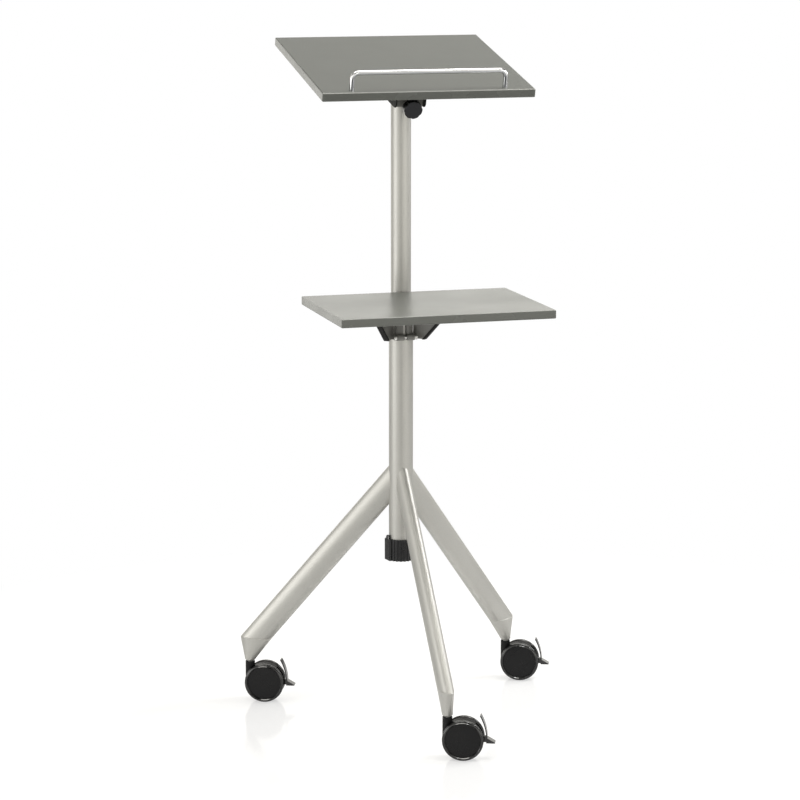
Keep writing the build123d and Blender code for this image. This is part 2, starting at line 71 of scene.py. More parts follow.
# Sockets of a Mix node by number, because their names repeat: two numbers, two colours, and the mixed colour.
NUMBER_A, NUMBER_B = 2, 3
COLOUR_A, COLOUR_B = 6, 7
MIXED_COLOUR = 2

# Noise: the detail and roughness of each pattern, and the band that most of its values lie in.
GRAIN_NOISE = {"Detail": 2.0, "Roughness": 0.6}
MOTTLE_NOISE = {"Detail": 3.0, "Roughness": 0.5}
NOISE_BAND = {"From Min": 0.3, "From Max": 0.7}
BUMP_STRENGTH = 0.5
SMOOTHEST = 0.02

# Normals that tell a board's level faces and its rising front arris, which is painted pale as a highlight,
# from its sides.
LEVEL_NORMAL_Z = 0.999
ARRIS_NORMAL_Z = (0.3, 0.99)
ARRIS_NORMAL_Y = -0.1
BOARD_ROUND_STEPS = 4


class Slot(Enum):
    """The record's material slots."""

    SILVER = "silver_paint"
    LAMINATE = "grey_laminate"
    BLACK = "black_plastic"
    TREAD = "tread"
    CHROME = "chrome_rod"
    CASTING = "dark_casting"
    STEEL = "bright_steel"


def linear(hex_colour: str) -> tuple[float, float, float, float]:
    """Turn an sRGB hex colour into linear RGBA.

    Args:
        hex_colour: Six hex digits, with or without a leading #.

    Returns:
        Linear red, green, blue and an alpha of one.
    """
    digits = hex_colour.lstrip("#")
    shares = [int(digits[i : i + 2], 16) / 255 for i in (0, 2, 4)]
    curve = [c / 12.92 if c <= 0.04045 else ((c + 0.055) / 1.055) ** 2.4 for c in shares]
    return (*curve, 1.0)


def grey(level: float) -> tuple[float, float, float, float]:
    """A linear grey of a level, with an alpha of one."""
    return (level, level, level, 1.0)


def add_node(
    tree: bpy.types.NodeTree, kind: str, inputs: dict | None = None, **settings: object
) -> bpy.types.Node:
    """Add a node to a tree, with its settings, values and links.

    Args:
        tree: The shader or geometry tree.
        kind: Blender's identifier of the node.
        inputs: Socket name or index to a value, or to an output socket that is linked to it.
        settings: Properties of the node itself.

    Returns:
        The new node.
    """
    node = tree.nodes.new(kind)
    for name, value in settings.items():
        setattr(node, name, value)
    for name, value in (inputs or {}).items():
        if isinstance(value, bpy.types.NodeSocket):
            tree.links.new(value, node.inputs[name])
        else:
            node.inputs[name].default_value = value
    return node


@dataclass(frozen=True)
class Finish:
    """A surface: what it is made of and what that gives the eye.

    The grain is the fine texture of how the surface was made. It is finer than the render shows,
    so grain_mm is drawn coarser than the real one, at about a pixel or two.
    """

    name: str
    slot: Slot
    colour: str
    roughness: float
    metallic: float = 0.0
    ior: float = 1.5
    grain_mm: float = 2.0
    grain_depth_mm: float = 0.02
    grain_tone: float = 0.03
    mottle_mm: float = 80.0
    mottle_tone: float = 0.03
    gloss_shift: float = 0.05
    stretch: tuple[float, float, float] = (1.0, 1.0, 1.0)

    def material(self) -> bpy.types.Material:
        """Build the procedural material, where it isn't there yet.

        Returns:
            The material.
        """
        made = bpy.data.materials.get(self.name)
        if made:
            return made
        made = bpy.data.materials.new(self.name)
        made.use_nodes = True
        tree = made.node_tree
        tree.nodes.clear()
        where = add_node(tree, "ShaderNodeTexCoord").outputs["Object"]
        run = add_node(tree, "ShaderNodeMapping", {"Vector": where, "Scale": self.stretch}).outputs[0]
        grain = add_node(
            tree,
            "ShaderNodeTexNoise",
            {"Vector": run, "Scale": 1 / (self.grain_mm * MM), **GRAIN_NOISE},
        )
        mottle = add_node(
            tree,
            "ShaderNodeTexNoise",
            {"Vector": where, "Scale": 1 / (self.mottle_mm * MM), **MOTTLE_NOISE},
        )
        tone = self.tone(tree, grain.outputs[0], mottle.outputs[0])
        gloss = add_node(
            tree,
            "ShaderNodeMapRange",
            {
                "Value": mottle.outputs[0],
                **NOISE_BAND,
                "To Min": max(self.roughness - self.gloss_shift, SMOOTHEST),
                "To Max": self.roughness + self.gloss_shift,
            },
        )
        bump = add_node(
            tree,
            "ShaderNodeBump",
            {"Height": grain.outputs[0], "Strength": BUMP_STRENGTH, "Distance": self.grain_depth_mm * MM},
        )
        shader = add_node(
            tree,
            "ShaderNodeBsdfPrincipled",
            {
                "Base Color": tone,
                "Roughness": gloss.outputs[0],
                "Normal": bump.outputs[0],
                "Metallic": self.metallic,
                "IOR": self.ior,
            },
        )
        add_node(tree, "ShaderNodeOutputMaterial", {"Surface": shader.outputs[0]})
        return made

    def tone(
        self, tree: bpy.types.NodeTree, grain: bpy.types.NodeSocket, mottle: bpy.types.NodeSocket
    ) -> bpy.types.NodeSocket:
        """Vary the colour a little with the grain and with a broad mottle.

        Args:
            tree: The material's tree.
            grain: Fine noise, from 0 to 1.
            mottle: Broad noise, from 0 to 1.

        Returns:
            The colour socket.
        """
        red, green, blue, _ = linear(self.colour)
        stage = None
        for noise, share in ((grain, self.grain_tone), (mottle, self.mottle_tone)):
            level = add_node(
                tree,
                "ShaderNodeMapRange",
                {"Value": noise, **NOISE_BAND, "To Min": 1 - share, "To Max": 1 + share},
            )
            stage = add_node(
                tree,
                "ShaderNodeVectorMath",
                {0: stage or (red, green, blue), "Scale": level.outputs[0]},
                operation="SCALE",
            ).outputs[0]
        return stage


# Powder-coated steel tube: a metallic flake in a satin binder, so light runs down it in soft stripes.
SILVER_COAT = Finish(
    "silver_powder_coat_on_steel", Slot.SILVER, "#BAB9B4", 0.40, metallic=0.42,
    grain_mm=1.6, grain_depth_mm=0.004, grain_tone=0.05, mottle_mm=120, mottle_tone=0.02, gloss_shift=0.03,
)
# High-pressure laminate on board: a fine pearl texture under a semi-gloss film that mirrors at low angles.
GREY_LAMINATE = Finish(
    "grey_laminate_pearl", Slot.LAMINATE, "#666863", 0.33, ior=1.6,
    grain_mm=2.2, grain_depth_mm=0.010, grain_tone=0.03, mottle_mm=140, mottle_tone=0.02, gloss_shift=0.03,
)
# ABS edging, ironed on and scraped: the same grey with a faint run along the board.
GREY_EDGING = Finish(
    "grey_abs_edging", Slot.LAMINATE, "#646661", 0.26, grain_mm=3.0, grain_depth_mm=0.008,
    grain_tone=0.03, mottle_mm=60, mottle_tone=0.02, stretch=(0.2, 0.2, 1.0),
)
# The edging's upper front arris, painted pale as a highlight of the light from above.
ARRIS_PAINTED_HIGHLIGHT = Finish(
    "abs_arris_painted_highlight", Slot.LAMINATE, "#A6A7A2", 0.3, grain_mm=3.0, grain_depth_mm=0.008,
    grain_tone=0.03, mottle_mm=60, mottle_tone=0.02, stretch=(0.2, 0.2, 1.0),
)
# Moulded nylon with a spark-eroded skin: deep grey rather than black where light grazes it.
BLACK_NYLON = Finish(
    "black_moulded_nylon", Slot.BLACK, "#0B0B0C", 0.28, ior=1.34, grain_mm=1.4, grain_depth_mm=0.02,
    grain_tone=0.10, mottle_mm=30, mottle_tone=0.06,
)
# The same nylon left rough, on the castors' bodies.
HOOD_NYLON = Finish(
    "black_rough_nylon", Slot.BLACK, "#0B0B0C", 0.55, ior=1.3, grain_mm=1.4, grain_depth_mm=0.02,
    grain_tone=0.10, mottle_mm=30, mottle_tone=0.06,
)
# The same nylon from a polished mould, on the wheels' rims and the pedals.
GLOSS_NYLON = Finish(
    "black_polished_nylon", Slot.BLACK, "#0B0B0C", 0.12, ior=1.55, grain_mm=1.6, grain_depth_mm=0.0008,
    grain_tone=0.06, mottle_mm=25, mottle_tone=0.05, gloss_shift=0.03,
)
# Nylon of the parts for the hand: a matt, slightly bluish face.
GRIP_NYLON = Finish(
    "matt_grip_nylon", Slot.BLACK, "#29292D", 0.5, ior=1.4, grain_mm=1.4, grain_depth_mm=0.03,
    grain_tone=0.08, mottle_mm=20, mottle_tone=0.05,
)
# Moulded cap: dark grey, with a sheen that picks out its ribs.
CAP_NYLON = Finish(
    "dark_grey_cap_nylon", Slot.BLACK, "#1B1B1C", 0.3, ior=1.5, grain_mm=1.4, grain_depth_mm=0.01,
    grain_tone=0.08, mottle_mm=20, mottle_tone=0.05,
)
# Polyurethane tread: smooth and slightly shiny, with bright lines along its shoulders.
TREAD_PU = Finish(
    "black_polyurethane_tread", Slot.TREAD, "#0A0A0B", 0.14, ior=1.55, grain_mm=1.6, grain_depth_mm=0.0008,
    grain_tone=0.08, mottle_mm=25, mottle_tone=0.05,
)
# Polished chrome plate on steel rod: a clear mirror with hardly any haze.
CHROME_PLATE = Finish(
    "polished_chrome_plate", Slot.CHROME, "#C4C5C6", 0.07, metallic=1.0, grain_mm=4.0, grain_depth_mm=0.002,
    grain_tone=0.01, mottle_mm=30, mottle_tone=0.01, gloss_shift=0.02,
)
# Die-cast alloy under dark grey paint: matt and a little warm.
DARK_CASTING = Finish(
    "dark_grey_painted_casting", Slot.CASTING, "#7A7975", 0.46, grain_mm=1.8, grain_depth_mm=0.03,
    grain_tone=0.06, mottle_mm=25, mottle_tone=0.05,
)
# Folded steel, near-black: on the tray's channel its dark paint is deepened into painted shade from the tray
# above, and on the brackets' rims the near-black is painted shade.
DARK_STEEL_AND_PAINTED_SHADE = Finish(
    "near_black_steel_and_painted_shade", Slot.CASTING, "#2A2A29", 0.7, ior=1.2, grain_mm=1.8, grain_depth_mm=0.02,
    grain_tone=0.06, mottle_mm=25, mottle_tone=0.05,
)
# Zinc-plated steel of pins and screws: bright, with turning marks round the upright pins.
ZINC_STEEL = Finish(
    "zinc_plated_steel", Slot.STEEL, "#B9B9B6", 0.28, metallic=1.0, grain_mm=1.2, grain_depth_mm=0.004,
    grain_tone=0.05, mottle_mm=12, mottle_tone=0.04, stretch=(0.2, 0.2, 1.0),
)


def new_object(name: str, mesh: bpy.types.Mesh) -> bpy.types.Object:
    """Link a new object that holds a mesh, at the origin.

    Args:
        name: The object's name.
        mesh: Its mesh.

    Returns:
        The object.
    """
    made = bpy.data.objects.new(name, mesh)
    bpy.context.scene.collection.objects.link(made)
    return made


def mesh_from(work: bmesh.types.BMesh, name: str) -> bpy.types.Mesh:
    """Turn a bmesh into a mesh with outward faces, and free it.

    Args:
        work: The bmesh.
        name: The mesh's name.

    Returns:
        The mesh.
    """
    bmesh.ops.remove_doubles(work, verts=work.verts, dist=WELD_DISTANCE)
    bmesh.ops.recalc_face_normals(work, faces=work.faces)
    mesh = bpy.data.meshes.new(name)
    work.to_mesh(mesh)
    work.free()
    return mesh


def settle(thing: bpy.types.Object) -> bpy.types.Object:
    """Turn an object's modifiers into its plain mesh.

    Args:
        thing: The object.

    Returns:
        The same object, without modifiers.
    """
    view = bpy.context.evaluated_depsgraph_get()
    mesh = bpy.data.meshes.new_from_object(thing.evaluated_get(view), depsgraph=view)
    thing.modifiers.clear()
    thing.data = mesh
    return thing


def ease_edges(thing: bpy.types.Object, width_mm: float, segments: int = 2) -> bpy.types.Object:
    """Round an object's sharp edges and shade it smooth between them.

    Args:
        thing: The object.
        width_mm: How far back from the edge the rounding starts.
        segments: Faces across the rounding.

    Returns:
        The same object.
    """
    thing.data.shade_smooth()
    bevel = thing.modifiers.new("eased_edges", "BEVEL")
    bevel.width = width_mm * MM
    bevel.segments = segments
    bevel.limit_method = "ANGLE"
    bevel.angle_limit = EASED_ANGLE
    weighted = thing.modifiers.new("flat_faces", "WEIGHTED_NORMAL")
    weighted.keep_sharp = True
    return settle(thing)


def copy_of(node: str, ease_mm: float, segments: int = 2) -> bpy.types.Object:
    """Copy a solid's mesh, weld it and ease its edges.

    Args:
        node: The solid's node.
        ease_mm: Rounding of its sharp edges.
        segments: Faces across the rounding.

    Returns:
        The new object.
    """
    work = bmesh.new()
    work.from_mesh(frame["nodes"][node].data)
    bmesh.ops.remove_doubles(work, verts=work.verts, dist=WELD_DISTANCE)
    bmesh.ops.dissolve_limit(work, angle_limit=FLAT_ANGLE, verts=work.verts, edges=work.edges)
    mesh = bpy.data.meshes.new(node)
    work.to_mesh(mesh)
    work.free()
    return ease_edges(new_object(f"{node}_finished", mesh), ease_mm, segments)


def skin(name: str, rings: Sequence[Sequence[Vector]], looped: bool = False) -> bpy.types.Object:
    """Stretch a closed skin over rings of points.

    Args:
        name: The new object's name.
        rings: Rings with the same number of points each, in order.
        looped: Whether the last ring joins the first. Otherwise both ends are closed with a face.

    Returns:
        The new object, smooth but for its sharp edges.
    """
    work = bmesh.new()
    loops = [[work.verts.new(point) for point in ring] for ring in rings]
    pairs = list(zip(loops, loops[1:]))
    if looped:
        pairs.append((loops[-1], loops[0]))
    else:
        for end in (loops[0], loops[-1]):
            work.faces.new(end)
    for here, there in pairs:
        for i in range(len(here)):
            j = (i + 1) % len(here)
            work.faces.new((here[i], here[j], there[j], there[i]))
    thing = new_object(name, mesh_from(work, name))
    thing.data.shade_smooth()
    thing.data.set_sharp_from_angle(angle=SHARP_ANGLE)
    return thing


def turned(
    name: str, outline: Sequence[tuple[float, float]], place: Matrix, steps: int = 96
) -> bpy.types.Object:
    """Turn a closed outline about an axis.

    Args:
        name: The new object's name.
        outline: Radius and height of each corner in millimetres, in order round the section.
        place: Where the axis lies, as a matrix in metres.
        steps: Facets round the axis.

    Returns:
        The new object, with its place in its mesh.
    """
    angles = [2 * math.pi * step / steps for step in range(steps)]
    rings = [
        [place @ Vector((r * MM * math.cos(a), r * MM * math.sin(a), h * MM)) for r, h in outline]
        for a in angles
    ]
    return skin(name, rings, looped=True)


def arc(
    centre: tuple[float, float], radii: tuple[float, float], start: float, end: float, steps: int
) -> list[tuple[float, float]]:
    """Points along an elliptic arc.

    Args:
        centre: The ellipse's middle.
        radii: Its two half-axes.
        start: First angle in degrees.
        end: Last angle in degrees.
        steps: Spaces between the points.

    Returns:
        The points, both ends among them.
    """
    angles = [math.radians(start + (end - start) * i / steps) for i in range(steps + 1)]
    return [(centre[0] + radii[0] * math.cos(a), centre[1] + radii[1] * math.sin(a)) for a in angles]


def finished(thing: bpy.types.Object, finish: Finish, body: str, *nodes: str) -> bpy.types.Object:
    """Give a piece its finish, its body and the solids that it stands for.

    Args:
        thing: The piece.
        finish: Its surface.
        body: The body that it moves with.
        nodes: The solids that it replaces.

    Returns:
        The same piece.
    """
    if not thing.data.materials:
        thing.data.materials.append(finish.material())
    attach(thing, body)
    if nodes:
        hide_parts(*nodes)
    LOG.info("%s rides on %s, %d faces", thing.name, body, len(thing.data.polygons))
    return thing


def second_finish(
    thing: bpy.types.Object, main: Finish, other: Finish, wanted: Callable[[Vector, Vector], bool]
) -> None:
    """Give some faces of a piece another finish.

    Args:
        thing: The piece.
        main: The finish of all other faces.
        other: The finish of the wanted faces.
        wanted: Tells from a face's middle and normal whether it takes the other finish.
    """
    mesh = thing.data
    mesh.materials.append(main.material())
    mesh.materials.append(other.material())
    for face in mesh.polygons:
        face.material_index = int(wanted(face.center, face.normal))


def axis_of(node: str) -> Vector:
    """Middle of a solid's box, on the floor plane."""
    low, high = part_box(node)
    return Vector(((low.x + high.x) / 2, (low.y + high.y) / 2, 0))


def joint(name: str) -> dict:
    """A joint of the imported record, by its name."""
    return next(j for j in frame["joints"] if j["name"] == name)


@dataclass
class Column:
    """The two tubes, the bush between them and the end cap."""

    lower_wall_mm: float = 2.0
    upper_wall_mm: float = 1.5
    lip_mm: float = 0.5
    bush_ease_mm: float = 0.8
    cap_ease_mm: float = 0.35
    steps: int = 128

    def tube(self, node: str, wall_mm: float, body: str) -> None:
        """Make a smooth tube over a solid's box.

        Args:
            node: The tube's node.
            wall_mm: Its wall.
            body: The body that it moves with.
        """
        low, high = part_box(node)
        radius = (high.x - low.x) / 2 / MM
        length = (high.z - low.z) / MM
        bore, lip = radius - wall_mm, self.lip_mm
        outline = [
            (radius, lip), (radius, length - lip), (radius - lip, length), (bore + lip, length),
            (bore, length - lip), (bore, lip), (bore + lip, 0), (radius - lip, 0),
        ]
        place = Matrix.Translation(axis_of(node) + Vector((0, 0, low.z)))
        finished(turned(f"{node}_finished", outline, place, self.steps), SILVER_COAT, body, node)

    def build(self) -> None:
        """Make every piece of the column."""
        self.tube("lower_column", self.lower_wall_mm, "base")
        self.tube("upper_column", self.upper_wall_mm, "mast")
        finished(copy_of("column_bush", self.bush_ease_mm), BLACK_NYLON, "base", "column_bush")
        finished(copy_of("column_end_cap", self.cap_ease_mm), CAP_NYLON, "base", "column_end_cap")


@dataclass
class Legs:
    """The three oval legs with their feet and castor pins, shaped along +X and turned to their sides."""

    depth_mm: float = 49.0
    width_mm: float = 27.5
    slope: float = 50.0
    root_mm: float = 475.5
    seam_mm: float = 127.5
    groove_mm: float = 0.8
    end_diameter_mm: float = 20.0
    chamfer_mm: float = 2.5
    pin_ease_mm: float = 0.4
    steps: int = 96

    def turns(self) -> list[tuple[float, float]]:
        """Cosine and sine of every step round an oval."""
        angles = [2 * math.pi * step / self.steps for step in range(self.steps)]
        return [(math.cos(a), math.sin(a)) for a in angles]

    def oval(self, height_mm: float, inset_mm: float = 0.0) -> list[Vector]:
        """Level cut through a leg.

        Args:
            height_mm: Height of the cut.
            inset_mm: How far the ring stands back from the leg's skin.

        Returns:
            The ring, in millimetres.
        """
        slope = math.radians(self.slope)
        middle = (self.root_mm - height_mm) / math.tan(slope)
        long = self.depth_mm / 2 / math.sin(slope) - inset_mm
        short = self.width_mm / 2 - inset_mm
        return [Vector((middle + long * c, short * s, height_mm)) for c, s in self.turns()]

    def mitre(self, column_mm: float) -> list[Vector]:
        """Ring where a leg meets the column.

        Args:
            column_mm: The column's radius.

        Returns:
            The ring, in millimetres.
        """
        slope = math.radians(self.slope)
        ring = []
        for c, s in self.turns():
            side = self.width_mm / 2 * s
            x = math.sqrt(column_mm**2 - side**2)
            rise = self.depth_mm / 2 * c / math.cos(slope)
            ring.append(Vector((x, side, self.root_mm + rise - x * math.tan(slope))))
        return ring

    def circle(self, reach_mm: float, radius_mm: float, height_mm: float) -> list[Vector]:
        """Level ring about the castor pin."""
        return [Vector((reach_mm + radius_mm * c, radius_mm * s, height_mm)) for c, s in self.turns()]

    def build(self) -> None:
        """Make the legs, the feet and the pins."""
        column = axis_of("lower_column")
        low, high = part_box("lower_column")
        radius = (high.x - low.x) / 2 / MM
        for name in LEGS:
            away = axis_of(f"castor_pin_{name}") - column
            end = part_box(f"foot_{name}")[0].z / MM
            turn = Matrix.Rotation(math.atan2(away.y, away.x), 4, "Z")
            place = Matrix.Translation(column) @ turn @ Matrix.Scale(MM, 4)
            reach = away.length / MM
            groove = self.oval(self.seam_mm, self.groove_mm)
            leg = [self.mitre(radius), self.oval(self.seam_mm + self.groove_mm), groove]
            wide = self.circle(reach, self.end_diameter_mm / 2, end + self.chamfer_mm)
            tip = self.circle(reach, self.end_diameter_mm / 2 - self.chamfer_mm, end)
            share = self.groove_mm / (self.seam_mm - end - self.chamfer_mm)
            brow = [top.lerp(low_point, share) for top, low_point in zip(self.oval(self.seam_mm), wide)]
            foot = [groove, brow, wide, tip]
            for piece, rings in (("leg", leg), ("foot", foot)):
                node = f"{piece}_{name}"
                made = skin(f"{node}_finished", [[place @ point for point in ring] for ring in rings])
                finished(made, SILVER_COAT, "base", node)
            node = f"castor_pin_{name}"
            finished(copy_of(node, self.pin_ease_mm), ZINC_STEEL, "base", node)


@dataclass
class Castors:
    """The twin-wheel castors with their brake pedals.

    Places along an axle are measured outwards from the castor's middle.
    """

    inner_mm: float = 10.5
    width_mm: float = 9.5
    tyre_mm: float = 3.5
    tyre_round_mm: float = 4.2
    rim_mm: float = 2.5
    rim_proud_mm: float = 1.0
    rim_slope_mm: float = 1.2
    rim_drop_mm: float = 1.45
    rim_above_face_mm: float = 0.3
    recess_mm: float = 2.2
    dome_mm: float = 1.2
    web_mm: float = 2.2
    hub_mm: float = 18.0
    bore_mm: float = 8.16
    body_ease_mm: float = 1.6
    pedal_ease_mm: float = 0.5
    axle_ease_mm: float = 0.4
    ease_steps: int = 3
    dome_steps: int = 8
    round_steps: int = 6

    def build(self) -> None:
        """Make every castor."""
        for name in LEGS:
            self.part(f"castor_body_{name}", f"castor_{name}", HOOD_NYLON, self.body_ease_mm)
            self.part(f"castor_axle_{name}", f"castor_{name}", ZINC_STEEL, self.axle_ease_mm)
            self.part(f"brake_pedal_{name}", f"brake_{name}", GLOSS_NYLON, self.pedal_ease_mm)
            for side, way in (("a", 1), ("b", -1)):
                self.wheel(f"{name}_{side}", way)

    def part(self, node: str, body: str, finish: Finish, ease_mm: float) -> None:
        """Make one piece of a castor from its solid."""
        finished(copy_of(node, ease_mm, self.ease_steps), finish, body, node)

    def wheel(self, which: str, way: int) -> None:
        """Place a wheel's disc and tyre on its axle.

        Args:
            which: The wheel's castor and side, as in its nodes' names.
            way: Side of the castor, along the axle's axis or against it.
        """
        hinge = joint(f"wheel_spin_{which}")
        facing = (Vector(hinge["axis"]) * way).to_track_quat("Z", "Y").to_matrix().to_4x4()
        place = Matrix.Translation(hinge["pos_m"]) @ facing
        low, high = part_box(f"tyre_{which}")
        radius = (high.z - low.z) / 2 / MM
        self.disc(which, radius - self.tyre_mm, place)
        self.tyre(which, radius, place)

    def disc(self, which: str, rim_r: float, place: Matrix) -> None:
        """Turn a domed disc with a raised rim.

        Args:
            which: The wheel's castor and side.
            rim_r: Radius of the disc in millimetres.
            place: Where the wheel's axis lies, its third axis outwards.
        """
        inner = self.inner_mm
        face_r = rim_r - self.rim_mm
        outer = inner + self.width_mm
        face = outer - self.recess_mm
        web = face - self.web_mm
        hub_r, bore_r = self.hub_mm / 2, self.bore_mm / 2
        slope = self.rim_slope_mm
        crest = outer + self.rim_proud_mm
        foot = crest - self.rim_drop_mm
        radii = [face_r * step / self.dome_steps for step in range(self.dome_steps + 1)]
        dome = [(r, face + self.dome_mm * (1 - (r / face_r) ** 2)) for r in radii]
        lip = [(face_r, foot), (face_r + slope, crest), (rim_r - slope, crest), (rim_r, foot)]
        back = [
            (rim_r, inner), (face_r, inner), (face_r, web), (hub_r, web),
            (hub_r, inner), (bore_r, inner), (bore_r, web), (0, web),
        ]
        made = turned(f"wheel_disc_{which}_finished", dome + lip + back, place)
        unplaced = place.inverted()

        def on_rim(middle: Vector, _: Vector) -> bool:
            """Whether a face lies on the raised rim."""
            spot = unplaced @ middle
            return spot.z > (face + self.rim_above_face_mm) * MM and spot.xy.length > face_r * MM

        second_finish(made, BLACK_NYLON, GLOSS_NYLON, on_rim)
        finished(made, BLACK_NYLON, f"wheel_{which}", f"wheel_disc_{which}")

    def tyre(self, which: str, radius: float, place: Matrix) -> None:
        """Turn a tyre with rounded shoulders.

        Args:
            which: The wheel's castor and side.
            radius: Radius of the tread in millimetres.
            place: Where the wheel's axis lies, its third axis outwards.
        """
        rim_r = radius - self.tyre_mm
        shoulder = radius - self.tyre_round_mm
        rounding = (self.tyre_round_mm, self.tyre_round_mm)
        inner = self.inner_mm
        outer = inner + self.width_mm
        section = [
            (rim_r, inner),
            *arc((shoulder, inner + self.tyre_round_mm), rounding, -90, 0, self.round_steps),
            *arc((shoulder, outer - self.tyre_round_mm), rounding, 0, 90, self.round_steps),
            (rim_r, outer),
        ]
        made = turned(f"tyre_{which}_finished", section, place)
        finished(made, TREAD_PU, f"wheel_{which}", f"tyre_{which}")


@dataclass
class Shelf:
    """The level shelf and the clamp bracket under it."""

    round_mm: float = 2.0
    bracket_ease_mm: float = 0.7
    screw_ease_mm: float = 0.5
    foot_reach_mm: float = 51.0
    top_reach_mm: float = 119.5
    rim_mm: float = 9.0
    flange_mm: float = 4.0

    def on_rim(self, spot: Vector, low: Vector, high: Vector, column: Vector) -> bool:
        """Whether a place lies on the sloping rim of a bracket's arm, which is painted near-black as painted
        shade.

        Args:
            spot: The place.
            low: Lowest corner of the bracket's box.
            high: Highest corner of the bracket's box.
            column: A point on the column's axis.

        Returns:
            True within the rim's width of the arm's sloping edge, below the flange.
        """
        away = spot - column
        reach = math.hypot(away.x, away.y) / MM
        widening = self.top_reach_mm - self.foot_reach_mm
        edge = self.foot_reach_mm + widening * (spot.z - low.z) / (high.z - low.z)
        return reach > edge - self.rim_mm and spot.z < high.z - self.flange_mm * MM

    def build(self) -> None:
        """Make the shelf board and its bracket."""
        low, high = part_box("shelf_board")
        middle = Matrix.Translation((low + high) / 2)
        board = slab("shelf_board_finished", high - low, self.round_mm, middle)
        finished(board, GREY_LAMINATE, "base", "shelf_board")
        for side in ("left", "right"):
            node = f"shelf_bracket_{side}"
            piece = copy_of(node, self.bracket_ease_mm)
            box = (*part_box(node), axis_of("lower_column"))
            # The arms' sloping rims face down and out, and take painted shade in near-black.
            second_finish(piece, DARK_CASTING, DARK_STEEL_AND_PAINTED_SHADE, lambda spot, _: self.on_rim(spot, *box))
            finished(piece, DARK_CASTING, "base", node)
        node = "bracket_clamp_screw"
        finished(copy_of(node, self.screw_ease_mm), ZINC_STEEL, "base", node)


def slab(name: str, size: Vector, round_mm: float, place: Matrix) -> bpy.types.Object:
    """Make a laminated board with rounded edging.

    Args:
        name: The new object's name.
        size: Width, depth and thickness in metres.
        round_mm: Radius of the edges.
        place: Where the board's middle lies.

    Returns:
        The board, its faces in laminate, its sides in edging and its front arris pale as a painted highlight.
    """
    work = bmesh.new()
    bmesh.ops.create_cube(work, size=1.0, matrix=Matrix.Diagonal((*size, 1.0)))
    thing = new_object(name, mesh_from(work, name))
    ease_edges(thing, round_mm, BOARD_ROUND_STEPS)
    mesh = thing.data
    finishes = (GREY_LAMINATE, GREY_EDGING, ARRIS_PAINTED_HIGHLIGHT)
    for finish in finishes:
        mesh.materials.append(finish.material())
    lowest, highest = ARRIS_NORMAL_Z
    for face in mesh.polygons:
        wanted = GREY_EDGING
        if abs(face.normal.z) > LEVEL_NORMAL_Z:
            wanted = GREY_LAMINATE
        # The upper front arris, facing up and to the front, takes the painted highlight.
        elif lowest < face.normal.z < highest and face.normal.y < ARRIS_NORMAL_Y:
            wanted = ARRIS_PAINTED_HIGHLIGHT
        face.material_index = finishes.index(wanted)
    mesh.transform(place)
    return thing


